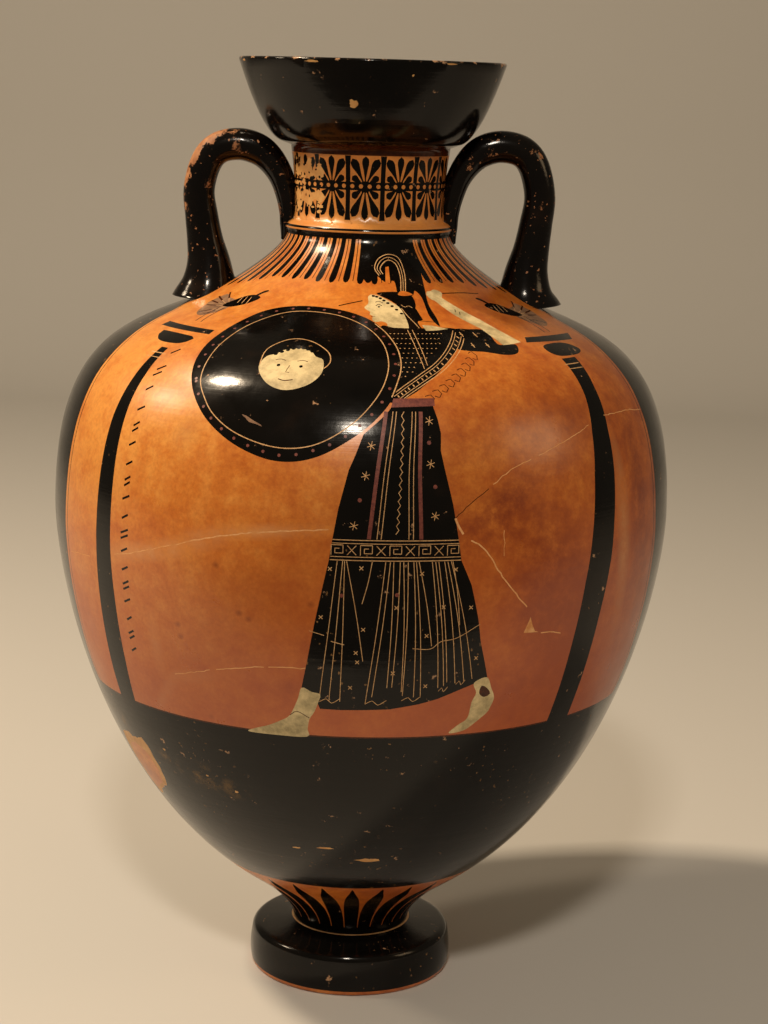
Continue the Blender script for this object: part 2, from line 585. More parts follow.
# The mask's outline, the line round it, its fringe, eyes, nose and mouth.
draw("""
WHITE smooth -76,435 -78.2,439 -76,442.8 -69.5,444.3 -64.9,446.4 -53,447.6 -42.6,446.4 -37.6,444
    -31.4,442.5 -30.4,436 -38.4,429.6 -52.6,426.2 -65.7,428.6
SCRATCH 0.6 -78,438.4 -79.5,446.1 -69.5,450.9 -56.4,452.1 -41.3,450.4 -28.6,446.2 -25.9,441.5 -29.5,438.4
""")
for k in range(10):
    share = k / 9
    paint(SLIP, disc(-70 + 36 * share, 444.2 + 3.6 * math.sin(math.pi * share), 1.35, 7))
for x in (-63.5, -46.5):
    paint(SLIP, disc(x, 438.8, 1.2, 8))
    paint(THIN, line("%.1f,441.3 %.1f,441.9 %.1f,441.3" % (x - 4, x, x + 4), 0.5))
draw("""
THIN 0.5 -55,439 -56.3,435.6 -53.6,435.4
THIN 0.7 -60,431.8 -55,431.1 -49.5,431.9
""")

# A column of short slanted strokes beside the left column, one or two at a time and all leaning alike.
MARKS = np.interp(np.arange(18), [0, 17], [440, 255])
for k, z in enumerate(MARKS):
    x = -159.0 + 3.2 * math.sin(k * 0.2)
    reach = rng.uniform(2.4, 3.4)
    for shift in ((0.0,), (-1.7, 1.7), (0.9,))[k % 3]:
        ends = np.array([[x - reach, z - 1.4 + shift], [x + reach, z + 1.4 + shift]])
        paint(SLIP, stroke(ends, 1.4))

# The back: the same frame with one plain draped figure that leans on a staff.
columns(HALF_TURN)
bird(HALF_TURN - 172.0, 467.5, 1)
bird(HALF_TURN + 188.0, 466.0, -1)
draw("""
SLIP smooth -31,225 -38,260 -43,300 -40,345 -33,390 -30,420 -27,438 -15,448 -4,452 8,452 24,448 33,436
    38,410 37,380 34,340 35,310 40,262 45,226 22,223 -8,222
SLIP smooth -8,450 -14,456 -17,462 -15,468 -8,473 2,474 10,471.5 13,466 12.5,461 15.5,458 11,456 9,451
SLIP smooth 26,446 40,434 56,429 69,430 70,433.5 58,435 44,442 34,449
SLIP smooth -24,224 -8,224 -8,219 -4,217.6 -24,217.6
SLIP smooth 10,224 26,224 27,219 34,217.6 11,217.6
SLIP 1.7 68,458 66.5,400 64,300 62,218
SCRATCH 0.6 -24,436 -10,400 -16,330 -28,238
SCRATCH 0.6 -4,448 10,405 6,330 0,238
SCRATCH 0.6 16,446 26,404 22,330 26,238
SCRATCH 0.6 -36,300 -30,262 -34,240
SCRATCH 0.6 34,300 33,262 38,240
SCRATCH 0.6 -27,426 0,434 30,414
SCRATCH 0.6 -36,392 0,402 36,376
SCRATCH 0.6 -40,350 -6,362 30,338
""", HALF_TURN)
for height in (233.5, 231.0):
    paint(SCRATCH, stroke([[-33.0, height], [43.0, height]], 0.5) + (HALF_TURN, 0))
paint(SCRATCH, line("-14,461 -4,464.5 8,463.5 12.5,462", 0.6) + (HALF_TURN, 0))

# Joins from an old repair, some filled with pale plaster and some left as a dark seam.
for number, width, spots in rows_of("""
FILL 0.4 -228,306 -214,308 -196,309.5
FILL 0.5 -166,316.6 -150,320.5 -128.6,326.9 -103.7,334.8
FILL 0.7 -103.7,334.8 -80,341 -57.4,345.2 -38,347.4 -18.3,349.2
FILL 0.5 -124.6,246.3 -104,251.6 -95.9,254
FILL 0.6 -91,255 -80,257.4 -64.2,260 -58,260.8
FILL 0.6 -55,261.2 -46,262 -31.5,262.6
THIN 0.5 55.1,356.5 66,366 76,373
FILL 0.5 79,375.4 92,383.5 106,388.4
FILL 0.4 112,390.4 136,397.6 158.5,404.5
FILL 1.3 55.1,356.5 57.4,351 60,347
FILL 0.8 64.9,343 73.5,337.4 84.1,322.1 95.7,308.4 104.6,299.3
FILL 0.4 85.8,348 86,332.5
FILL 0.7 118,281 125,280.6 134.5,278.6
FILL 0.5 177.1,408.5 205,408.5 231.2,406.5
"""):
    wiggle = smooth(points(spots), step=2.5)
    wiggle[1:-1] += rng.normal(0, 0.2, wiggle[1:-1].shape)
    paint(number, stroke(wiggle, float(width)))
paint(FILL, points("104.8,282.5 106.6,287.4 108.3,292.4 110.6,287 113,283 116,281.8"))

# Flakes of slip are lost along the lip and low on the wall, and the clay under them is bare.
FLAKE_SIDES = 14


def flake(x, z, wide, tall):
    """A ragged flake of that half width and half height."""
    turn = np.arange(FLAKE_SIDES) * 2 * math.pi / FLAKE_SIDES
    ragged = rng.uniform(0.55, 1.1, FLAKE_SIDES)
    return np.stack([x + wide * ragged * np.cos(turn), z + tall * ragged * np.sin(turn)], 1)


for x, z, wide, tall in (
        (16, 118.4, 14, 1.9), (-54, 126.4, 5, 0.7), (-26, 128.4, 9, 0.9), (-160, 186, 2, 0.8),
        (-96, 167, 2, 1), (-120, 175, 1.5, 0.8), (-90, 617, 12, 1.0), (120, 617.6, 10, 0.6),
        (-250, 617, 9, 0.9), (250, 618, 9, 0.7), (-30, 592, 9, 2.6), (60, 610, 2, 0.8)):
    paint(BARE, np.minimum(flake(x, z, wide, tall), (HALF_TURN, TOP - 0.01)))
# A wide flake low on the left, pale round its upper edge.
for number, kind, spots in rows_of("""
BARE smooth -236,170 -230,182 -214,186 -202,184.5 -190,187 -184,182 -182,172 -181,165 -187,154 -204,147
    -222,139 -232,150
CLAY smooth -230,166 -222,176 -208,179 -196,178 -189,174 -187,164 -193,155 -208,148 -222,143 -230,152
"""):
    ragged = smooth(points(spots), closed=True, step=3.0)
    paint(number, ragged + rng.normal(0, 0.5, ragged.shape))
# The chain's slip has flaked off most of the neck's left side, and specks of it are left.
for number, kind, spots in rows_of("""
BARE smooth -262,546 -248,553 -228,550 -212,557 -196,551 -178,556.5 -160,549 -140,553 -126,547 -140,544
    -166,545.5 -190,543.6 -226,544.6
BARE smooth -258,531 -248,537 -224,534.5 -196,536.6 -168,534.5 -146,536.4 -124,532 -140,528.6 -160,531
    -176,526 -206,528.5 -236,523
"""):
    ragged = smooth(points(spots), closed=True, step=4.0)
    paint(number, ragged + rng.normal(0, (1.6, 0.45), ragged.shape))
for k in range(70):
    x, z = rng.uniform(-314, -130), rng.uniform(522, 558.5)
    paint(BARE, flake(x, z, rng.uniform(4, 11), rng.uniform(0.6, 1.7)))
for k in range(34):
    x, z = rng.uniform(-300, -130), rng.uniform(525, 556)
    paint(SLIP, flake(x, z, rng.uniform(1.2, 4.5), rng.uniform(0.5, 1.3)))
# A worn scratch on the shield.
paint(DUN, blob("-78,411.4 -74.6,410.8 -70.2,408.9 -64,406.6 -63,405.6 -67.5,406.8 -72.1,407.6 -74.9,409.6"))

# The vessel's wall.
# One closed shell of fired clay. The outside is cut along every painted outline, so that each painted
# field keeps a true edge, and the foot, the lip and the inside are turned strips joined to it.
COLUMN_COUNT = 192
COLUMN_X = np.linspace(-HALF_TURN, HALF_TURN, COLUMN_COUNT + 1)
# Rows are ROW_STEP millimetres or ROW_TURN radians apart, and none is within CLOSEST of a band's edge.
ROW_STEP, ROW_TURN, CLOSEST = 8.0, 0.12, 0.4
# Points nearer than WELD become one. No true face has a side over LONGEST_SIDE, but slivers at the border do.
WELD, LONGEST_SIDE = 2e-3, 20.0


def lattice_rows():
    """Heights of the wall's rows: every ROW_STEP millimetres of outline, and closer where it turns."""
    fine = np.linspace(BOTTOM, TOP, 6000)
    turn = np.abs(np.gradient(np.arctan(np.gradient(radius_at(fine), fine))))
    step = np.hypot(np.gradient(fine), np.gradient(radius_at(fine)))
    effort = np.cumsum(step / ROW_STEP + turn / ROW_TURN)
    rows = np.interp(np.arange(0, effort[-1], 1.0), effort, fine)
    edges = [z for band in BANDS for z in band[1:]] + [NECK_ROOT[1], 565.0, 566.0]
    rows = [z for z in rows if min(abs(z - e) for e in edges) > CLOSEST]
    return np.unique(np.round(rows + edges, 4))


def painted_wall():
    """The unrolled outside cut into triangles along every outline, with a paint number each."""
    rows = lattice_rows()
    spots = [np.stack(np.meshgrid(COLUMN_X, rows), -1).reshape(-1, 2)]
    sides = []
    for row in np.searchsorted(rows, np.round([b[1] for b in BANDS] + [TOP], 4)):
        start = row * (COLUMN_COUNT + 1) + np.arange(COLUMN_COUNT)
        sides.append(np.stack([start, start + 1], 1))
    total = len(spots[0])
    for number, outline in shapes:
        outline[:, 1] = outline[:, 1].clip(BOTTOM, TOP)
        index = total + np.arange(len(outline))
        sides.append(np.stack([index, np.roll(index, -1)], 1))
        spots.append(outline)
        total += len(outline)
    spots = np.vstack(spots)
    sides = np.vstack(sides)
    cut = delaunay_2d_cdt([Vector(p) for p in spots.tolist()], sides.tolist(), [], 0, WELD)
    flat = np.array([p[:] for p in cut[0]])
    tris = np.array(cut[2])
    span = flat[tris].max(1) - flat[tris].min(1)
    tris = tris[(span < LONGEST_SIDE).all(1)]
    middle = flat[tris].mean(1)
    colour = np.zeros(len(tris), int)
    for number, low, high in BANDS:
        colour[(middle[:, 1] >= low) & (middle[:, 1] <= high)] = number
    for number, outline in shapes:
        colour[within(outline, middle)] = number
    return flat, tris, colour


def along(path):
    """How far each point lies along an outline, from 0 at its start to 1 at its end."""
    gone = np.cumsum(np.hypot(*np.diff(path, axis=0, prepend=path[:1]).T))
    return gone / gone[-1]


# The wall's flat map for pictures of its paint: the front and back pictures get the most room across,
# and the outside, the foot and the inside get a strip each, as (lower edge, upper edge).
MAP_X = [-HALF_TURN, -413, -215, 215, 413, HALF_TURN]
MAP_ACROSS = [0.002, 0.15, 0.225, 0.775, 0.85, 0.998]
MAP_OUTSIDE, MAP_FOOT, MAP_INSIDE = (0.002, 0.80), (0.806, 0.868), (0.874, 0.998)


def map_spot(x, share, strip):
    """Where a spot lies on the flat map: across by its x, up by its share of the strip."""
    return np.stack([np.interp(x, MAP_X, MAP_ACROSS), strip[0] + share * (strip[1] - strip[0])], -1)


def turned_strip(path, colours, strip):
    """Rings of a turned outline as triangles: x = r sin a, y = -r cos a, with a paint number per row."""
    a = COLUMN_X / UNIT
    r, z = path[:, :1], path[:, 1:]
    shape = (len(path), len(a))
    verts = np.stack([r * np.sin(a), -r * np.cos(a), np.broadcast_to(z, shape)], -1)
    i, j = np.meshgrid(np.arange(shape[0] - 1), np.arange(shape[1] - 1), indexing="ij")
    base = (i * len(a) + j).ravel()
    quads = np.stack([base, base + 1, base + 1 + len(a), base + len(a)], 1)
    tris = np.vstack([quads[:, [0, 1, 2]], quads[:, [0, 2, 3]]])
    way = np.gradient(path, axis=0)
    out = np.stack([way[:, 1], -way[:, 0]], 1)
    out /= np.maximum(np.hypot(*out.T), 1e-9)[:, None]
    rise = np.broadcast_to(out[:, 1:], shape)
    normal = np.stack([out[:, :1] * np.sin(a), -out[:, :1] * np.cos(a), rise], -1)
    x = np.broadcast_to(COLUMN_X, shape)
    flat = np.stack([x, np.broadcast_to(z, shape)], -1)
    spot = map_spot(x, np.broadcast_to(along(path)[:, None], shape), strip)
    rows = np.asarray(colours)[i.ravel()]
    return (verts.reshape(-1, 3), tris, np.concatenate([rows, rows]), flat.reshape(-1, 2),
            normal.reshape(-1, 3), spot.reshape(-1, 2))


UNDER_POINTS, BASE_POINTS = 8, 3
BARE_FOOT, SLIP_INSIDE = 2.4, 545.0


def foot_line():
    """The foot from the axis underneath, over the standing ring and the side, to the stem."""
    inside = FOOT_BASE_RADIUS - RING_WIDTH
    axis = (0.01, UNDERSIDE_DEPTH)
    under = bezier(axis, (inside * 0.6, UNDERSIDE_DEPTH), (inside, UNDERSIDE_DEPTH * 0.7), (inside, 0.6),
                   UNDER_POINTS)
    base = [(inside + 0.6, 0), (FOOT_BASE_RADIUS - 0.8, 0), (FOOT_BASE_RADIUS - 0.1, 0.4)]
    side_top = (FOOT_RADIUS - 1.0, FOOT_HEIGHT - FOOT_ROUND)
    bulge = FOOT_RADIUS + 0.6
    side = bezier(base[-1], (bulge, FOOT_HEIGHT * 0.12), (bulge, FOOT_HEIGHT * 0.5), side_top, 10)
    turn = np.radians(np.linspace(5, 86, 8))
    edge = np.array(side_top) - (FOOT_ROUND, 0) + FOOT_ROUND * np.stack([np.cos(turn), np.sin(turn)], 1)
    top = bezier(edge[-1], (58, FOOT_HEIGHT + 0.8), (44, STEM[1] - 1.4), (STEM[0] + 1.2, STEM[1] - 0.3), 10)
    return np.vstack([[axis], under, base, side, edge, top, [STEM]])


def inner_line():
    """The lip and the inside down to the middle of the floor, the wall's thickness inside the outline."""
    turn = np.radians(np.linspace(0, 90, 5))[1:]
    corner = LIP_ROUND * np.stack([np.cos(turn), np.sin(turn)], 1)
    lip_out = np.array([MOUTH_RADIUS - LIP_ROUND, RIM - LIP_ROUND]) + corner
    lip_in = np.array([MOUTH_RADIUS - LIP_WIDTH + LIP_ROUND, RIM - LIP_ROUND]) + corner[::-1] * (-1, 1)
    lip = np.array([MOUTH_RADIUS - LIP_WIDTH, RIM - LIP_ROUND])
    throat = np.array([NECK_RADIUS + NECK_FLARE - NECK_WALL, NECK_ROOT[1] + COLLAR_HEIGHT + NECK_HEIGHT])
    foot = np.array([NECK_RADIUS - NECK_WALL, NECK_ROOT[1]])
    drop, wide = lip[1] - throat[1], lip[0] - throat[0]
    funnel = bezier(lip, lip - (0.16 * wide, 0.45 * drop), throat + (0.10 * wide, 0.28 * drop), throat, 16)
    # Rows are closer on the shoulder, which curves most and shows through the mouth.
    z = np.concatenate([np.arange(506, 440, -5.0), np.arange(438, 92, -12.0)])
    thick = WALL + (NECK_WALL - WALL) * ((z - BELLY[1]) / (NECK_ROOT[1] - BELLY[1])).clip(0) ** 3
    slope = slope_at(z)
    body = np.stack([radius_at(z) - thick / np.hypot(1, slope), z + thick * slope / np.hypot(1, slope)], 1)
    body = body[(body[:, 0] > foot[0] + 3) & (body[:, 1] > 88) & (body[:, 1] < 504)]
    way = body[-1] - body[-2]
    floor = bezier(body[-1], body[-1] + way / np.hypot(*way) * 18, (38, FLOOR), (0.01, FLOOR), 14)
    return np.vstack([[(MOUTH_RADIUS, TOP)], lip_out, lip_in, [lip], funnel, [foot], body, floor])


flat, tris, colour = painted_wall()
a, z = flat[:, 0] / UNIT, flat[:, 1]
r, slope = radius_at(z), slope_at(z)
wall = np.stack([r * np.sin(a), -r * np.cos(a), z], 1)
tilt = 1 / np.hypot(1, slope)
wall_normal = np.stack([np.sin(a) * tilt, -np.cos(a) * tilt, -slope * tilt], 1)
wall_spot = map_spot(flat[:, 0], np.interp(z, OUTER[:, 1], along(OUTER)), MAP_OUTSIDE)
# The underside and a line above the standing ring are bare, and a scratched ring marks the stem's root.
foot = foot_line()
bare = (np.arange(len(foot)) < 1 + UNDER_POINTS + BASE_POINTS) | (foot[:, 1] < BARE_FOOT)
foot_paint = np.where(bare, CLAY, SLIP)
foot_paint[-2] = SCRATCH
# The slip reaches down inside the mouth as far as a brush does, and the rest of the inside is bare.
inner = inner_line()
inner_paint = np.where(inner[:, 1] > SLIP_INSIDE, SLIP, CLAY)

parts = [(wall, tris, colour, flat, wall_normal, wall_spot), turned_strip(foot, foot_paint, MAP_FOOT),
         turned_strip(inner, inner_paint, MAP_INSIDE)]
starts = np.cumsum([0] + [len(part[0]) for part in parts])
verts, layout, normals, spots = (np.vstack([part[k] for part in parts]) for k in (0, 3, 4, 5))
faces = np.vstack([part[1] + start for part, start in zip(parts, starts)])
numbers = np.concatenate([part[2] for part in parts])
corners = np.concatenate([layout[faces] / 1000.0, spots[faces]], 2)
# The strips and the back seam are welded, and faces with no width are left out.
_, first, same = np.unique(np.round(verts, 3) + 0.0, axis=0, return_index=True, return_inverse=True)
faces = same.ravel()[faces]
verts, normals = verts[first] / 1000.0, normals[first]
good = (faces[:, 0] != faces[:, 1]) & (faces[:, 1] != faces[:, 2]) & (faces[:, 0] != faces[:, 2])
corners, faces, numbers = corners[good], faces[good], numbers[good]
# Every face is turned to look out.
one, two, three = (verts[faces[:, k]] for k in range(3))
flip = np.einsum("ij,ij->i", np.cross(two - one, three - one), normals[faces].mean(1)) < 0
faces[flip] = faces[flip][:, [0, 2, 1]]
corners[flip] = corners[flip][:, [0, 2, 1]]

mesh = bpy.data.meshes.new("vessel")
mesh.vertices.add(len(verts))
mesh.vertices.foreach_set("co", verts.astype(np.float32).ravel())
mesh.loops.add(len(faces) * 3)
mesh.loops.foreach_set("vertex_index", faces.astype(np.int32).ravel())
mesh.polygons.add(len(faces))
mesh.polygons.foreach_set("loop_start", np.arange(0, len(faces) * 3, 3, dtype=np.int32))
mesh.update(calc_edges=True)
mesh.polygons.foreach_set("use_smooth", np.ones(len(faces), bool))
for name, columns_used in (("layout", slice(0, 2)), ("OFBake", slice(2, 4))):
    uv = mesh.uv_layers.new(name=name)
    uv.data.foreach_set("uv", corners[..., columns_used].astype(np.float32).ravel())
mesh.polygons.foreach_set("material_index", numbers.astype(np.int32))
mesh.validate()
mesh.normals_split_custom_set_from_vertices(normals.tolist())
vessel = bpy.data.objects.new("vessel", mesh)
bpy.context.scene.collection.objects.link(vessel)


def colour_of(tone):
    """A linear colour from sRGB hex, or a grey from a number."""
    if not isinstance(tone, str):
        return [tone, tone, tone, 1.0]
    values = [int(tone[k:k + 2], 16) / 255 for k in (0, 2, 4)]
    return [v / 12.92 if v <= 0.04045 else ((v + 0.055) / 1.055) ** 2.4 for v in values] + [1.0]


def add(tree, kind, *values, stops=(), out=0, **settings):
    """Adds a node and returns an output. Values go to its inputs in use, in order: a socket is linked,
    None is passed over and anything else is set. Stops are a colour ramp's places and tones."""
    node = tree.nodes.new("ShaderNode" + kind)
    for key, value in settings.items():
        setattr(node, key, value)
    for socket, value in zip([s for s in node.inputs if s.enabled], values):
        if isinstance(value, bpy.types.NodeSocket):
            tree.links.new(value, socket)
        elif value is not None:
            socket.default_value = value
    for k, (place, tone) in enumerate(stops):
        stop = node.color_ramp.elements[k] if k < 2 else node.color_ramp.elements.new(place)
        stop.position, stop.color = place, colour_of(tone)
    return [s for s in node.outputs if s.enabled][out]


def grains(size):
    """The scale of a noise whose grains are about that many millimetres across."""
    return 1000.0 / size


def surface(name, shine, smoothest, roughest):
    """A material for the turned wall. Its roughness drifts over 25 mm, and it has the wheel's fine rings,
    3.7 mm apart, and shallow dents 18 mm across."""
    material = bpy.data.materials.new(name)
    material.use_nodes = True
    tree = material.node_tree
    shader = tree.nodes["Principled BSDF"]
    shader.inputs["Specular IOR Level"].default_value = shine
    where = add(tree, "TexCoord", out=3)
    drift = add(tree, "TexNoise", where, grains(25), 4.0, 0.55)
    tree.links.new(add(tree, "MapRange", drift, 0.3, 0.7, smoothest, roughest), shader.inputs["Roughness"])
    squeeze = 90.0
    squeezed = add(tree, "Mapping", where, None, None, (1.0, 1.0, squeeze))
    rings = add(tree, "TexNoise", squeezed, grains(3.7 * squeeze), 3.0, 0.55)
    dents = add(tree, "TexNoise", where, grains(18), 4.0, 0.55)
    height = add(tree, "Math", rings, 0.5, dents, operation="MULTIPLY_ADD")
    tree.links.new(add(tree, "Bump", 0.08, 0.002, None, height), shader.inputs["Normal"])
    return material, tree, shader, where


def patches(tree, spots):
    """Soft-edged ovals on the unrolled wall, 1 in the middle and 0 outside, added up. Each spot is x, z,
    half length, half height and lean, in the layout's millimetres."""
    place = add(tree, "UVMap", uv_map="layout")
    total = None
    for x, z, long, wide, tip in spots:
        moved = add(tree, "Mapping", place, (x / 1000, z / 1000, 0), (0, 0, tip),
                    (long / 1000, wide / 1000, 1), vector_type="TEXTURE")
        oval = add(tree, "TexGradient", moved, out=1, gradient_type="SPHERICAL")
        total = oval if total is None else add(tree, "Math", total, oval, operation="ADD", use_clamp=True)
    return total


# Soft patches on the clay: darker where the fire caught it, paler where plaster was wiped along the
# joins, small brown stains and grey smears. On the slip: places rubbed down to brown.
SCORCHED = [(72, 352, 46, 22, 0.3), (112, 338, 42, 30, -0.3), (116, 308, 48, 34, 0), (130, 284, 40, 24, 0),
            (92, 369, 24, 12, 0.4), (203, 362, 11, 80, 0.05), (214, 325, 9, 70, 0.1), (232, 335, 7, 90, 0),
            (112, 246, 70, 26, 0), (-42, 249, 18, 10, 0.05), (-30, 272, 10, 22, 0.1)]
WIPED = [(-150, 321, 48, 8, 0.2), (-112, 330, 46, 9, 0.28), (-60, 345, 56, 6, 0.1), (-111, 247, 26, 6, 0.16),
         (-137, 264, 7, 26, 0), (-137, 231, 28, 6, 0.85), (186, 330, 9, 80, 0.1), (-225, 534, 130, 40, 0),
         (0, 517, 330, 8, 0)]
STAINED = [(x, z, 3.0, 2.6, 0.0) for x, z in points("-85.9,322.4 -115.8,280.7 -71.9,294.2 -66,291 "
                                                    "-27.9,303.5 -100.7,221.5 -114.8,273")]
GREYED = [(-114, 398, 15, 11, 0.6), (-165, 436, 12, 7, 0.5)]
RUBBED = [(-128, 174, 34, 13, -0.1), (-162, 178, 22, 10, 0), (-96, 168, 16, 9, 0), (-216, 196, 16, 14, 0)]


def fired_clay():
    """Orange clay burnished before firing: satin, mottled, darker to the right and redder low on the wall."""
    material, tree, shader, where = surface("burnished_fired_clay", 0.75, 0.27, 0.36)
    sideways = add(tree, "SeparateXYZ", where)
    upward = add(tree, "SeparateXYZ", where, out=2)
    cloud = add(tree, "TexNoise", where, grains(62), 4.0, 0.6)
    blotch = add(tree, "TexNoise", where, grains(11.8), 6.0, 0.75)
    grit = add(tree, "TexNoise", where, grains(2.4), 3.0, 0.55)
    heat = add(tree, "MapRange", sideways, -0.17, 0.18, -0.16, 0.12)
    heat = add(tree, "Math", heat, add(tree, "MapRange", upward, 0.42, 0.22, 0.0, 0.11), operation="ADD")
    heat = add(tree, "Math", cloud, 0.5, heat, operation="MULTIPLY_ADD")
    heat = add(tree, "Math", blotch, 0.55, heat, operation="MULTIPLY_ADD")
    fired = [(0.34, "E69A45"), (0.48, "D37D2D"), (0.62, "B9601C"), (0.78, "933F12")]
    tone = add(tree, "ValToRGB", heat, stops=fired)
    share = add(tree, "MapRange", grit, 0.40, 0.75, 0.0, 0.30)
    tone = add(tree, "Mix", share, tone, colour_of("8E4517"), data_type="RGBA")
    for spots, least, most, tint in ((SCORCHED, 0.15, 0.9, "7E3410"), (WIPED, 0.1, 0.75, "E2A768"),
                                     (STAINED, 1.0, 1.0, "84420F"), (GREYED, 0.22, 0.22, "8A6450")):
        share = add(tree, "MapRange", blotch, 0.36, 0.61, least, most)
        share = add(tree, "Math", patches(tree, spots), share, operation="MULTIPLY")
        tone = add(tree, "Mix", share, tone, colour_of(tint), data_type="RGBA")
    ember = add(tree, "MapRange", upward, 0.39, 0.25, 0.0, 0.62)
    picture = add(tree, "Math", upward, 0.2, operation="GREATER_THAN")
    ember = add(tree, "Math", ember, picture, operation="MULTIPLY")
    tone = add(tree, "Mix", ember, tone, colour_of("B04A02"), data_type="RGBA")
    throat = add(tree, "MapRange", upward, 0.509, 0.512, 0.0, 0.45)
    tone = add(tree, "Mix", throat, tone, colour_of("C98A48"), data_type="RGBA")
    tree.links.new(tone, shader.inputs["Base Color"])
    return material


def black_slip():
    """Fine clay fired to a glossy black: brown where thin, with pinholes, rubbed places and a chipped lip."""
    material, tree, shader, where = surface("fired_black_slip", 0.26, 0.09, 0.20)
    upward = add(tree, "SeparateXYZ", where, out=2)
    cloud = add(tree, "TexNoise", where, grains(33), 5.0, 0.55)
    tone = add(tree, "ValToRGB", cloud, stops=[(0.3, "070605"), (0.62, "0D0A08"), (0.8, "18100B")])
    pinholes = add(tree, "TexNoise", where, grains(3), 2.0, 0.4)
    share = add(tree, "MapRange", pinholes, 0.70, 0.735, 0.0, 0.9)
    some = add(tree, "MapRange", add(tree, "TexNoise", where, grains(71), 4.0, 0.55), 0.50, 0.68, 0.0, 1.0)
    share = add(tree, "Math", share, some, operation="MULTIPLY")
    tone = add(tree, "Mix", share, tone, colour_of("9C7448"), data_type="RGBA")
    blotch = add(tree, "TexNoise", where, grains(11.8), 6.0, 0.75)
    share = add(tree, "MapRange", blotch, 0.50, 0.66, 0.0, 0.75)
    share = add(tree, "Math", patches(tree, RUBBED), share, operation="MULTIPLY")
    tone = add(tree, "Mix", share, tone, colour_of("7A5A2C"), data_type="RGBA")
    lip = add(tree, "MapRange", upward, 0.6172, 0.6186, 0.0, 0.11)
    lip = add(tree, "Math", lip, add(tree, "TexNoise", where, grains(8.3), 5.0, 0.7), operation="ADD")
    share = add(tree, "MapRange", lip, 0.66, 0.70, 0.0, 0.9)
    tone = add(tree, "Mix", share, tone, colour_of("B48C6A"), data_type="RGBA")
    tree.links.new(tone, shader.inputs["Base Color"])
    return material


def one_noise(name, size, low, high, shine, smoothest, roughest):
    """A thin paint or a bared surface that only wavers between two tones."""
    material, tree, shader, where = surface(name, shine, smoothest, roughest)
    noise = add(tree, "TexNoise", where, grains(size), 6.0, 0.7)
    tone = add(tree, "ValToRGB", noise, stops=[(0.34, low), (0.62, high)])
    tree.links.new(tone, shader.inputs["Base Color"])
    return material


PAINTS = {
    CLAY: fired_clay(),
    SLIP: black_slip(),
    # Iron-rich clay laid over the slip: dull purplish red.
    RED: one_noise("added_red_ochre", 2.4, "5A2A28", "84473A", 0.4, 0.35, 0.5),
    # White pipe clay laid over the slip: chalky cream, dirty in places.
    WHITE: one_noise("added_white_clay", 14, "94845F", "E0CA98", 0.35, 0.45, 0.6),
    # Lines cut through the slip with a point, which show the clay under it.
    SCRATCH: one_noise("clay_in_cut_lines", 2.4, "B08050", "DDB27E", 0.3, 0.4, 0.5),
    # Slip brushed on so thin that it fired brown.
    THIN: one_noise("thin_brown_slip", 2.4, "2E160C", "54280F", 0.28, 0.12, 0.24),
    # Plaster rubbed into the joins: matt and pale.
    FILL: one_noise("tinted_plaster", 6.7, "CE8A4E", "E8B27A", 0.35, 0.45, 0.6),
    # Clay where the slip has flaked away: pale and a little rough.
    BARE: one_noise("bare_clay_under_flakes", 11.8, "BE8448", "DAA866", 0.5, 0.35, 0.5),
    # Slip rubbed until it is dull and brownish grey.
    DUN: one_noise("rubbed_dull_slip", 11.8, "5F4534", "9A765A", 0.3, 0.35, 0.5),
}
for number in sorted(PAINTS):
    mesh.materials.append(PAINTS[number])
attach(vessel, "root")
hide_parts("amphora")

# The handles.
# Two rods of clay rolled by hand, pulled thicker at the root, bent over and luted to the shoulder and
# the neck under the mouth, then brushed with slip, which has worn through along the left one's outer edge.
HANDLE_WAY = points("105.6,462.2 104.8,472.5 105.3,485.1 107.7,499.3 110.1,515.8 112,534.1 107.6,552.9 "
                    "99.5,562.9 86.4,566 74.5,563.2 65.9,556.6 58.6,545.5 54.4,532.9 52.5,521 52.5,511.3 "
                    "54.5,501.4")
HANDLE_ROD = [23.5, 17.6, 14.35, 12.0, 10.9, 10.25, 10.25, 10.3, 10.45, 10.35, 9.5, 8.3, 7.5, 6.7, 6.1, 3.2]
HANDLE_FOOT, HANDLE_RISE = 509.0, 57.0
HANDLE_SIDES = 40


def rod(side, sag):
    """Rings round a bent path, p + rho (u cos a + v sin a), whose two ends lie inside the vessel's wall."""
    path = HANDLE_WAY.copy()
    path[1:-1, 1] -= sag * (path[1:-1, 1] - HANDLE_FOOT) / HANDLE_RISE
    way = smooth(np.column_stack([path, HANDLE_ROD]), step=1.6)
    centre = np.stack([way[:, 0], np.zeros(len(way)), way[:, 1]], 1)
    ahead = np.gradient(centre, axis=0)
    ahead /= np.linalg.norm(ahead, axis=1)[:, None]
    across = np.array([0.0, 1.0, 0.0])
    up = np.cross(ahead, across)
    turn = (np.arange(HANDLE_SIDES) * 2 * math.pi / HANDLE_SIDES)[None, :, None]
    rho = way[:, 2][:, None, None]
    ring = centre[:, None] + rho * (np.cos(turn) * up[:, None] + np.sin(turn) * across)
    ring[..., 0] *= side
    count, sides = ring.shape[:2]
    i, j = np.meshgrid(np.arange(count - 1), np.arange(sides), indexing="ij")
    a = (i * sides + j).ravel()
    b = (i * sides + (j + 1) % sides).ravel()
    quads = np.stack([a, b, b + sides, a + sides], 1)
    if side > 0:
        quads = quads[:, ::-1]
    caps = [list(range(sides)), list(range((count - 1) * sides, count * sides))]
    caps[0 if side > 0 else 1].reverse()
    return ring.reshape(-1, 3) / 1000.0, quads.tolist() + caps


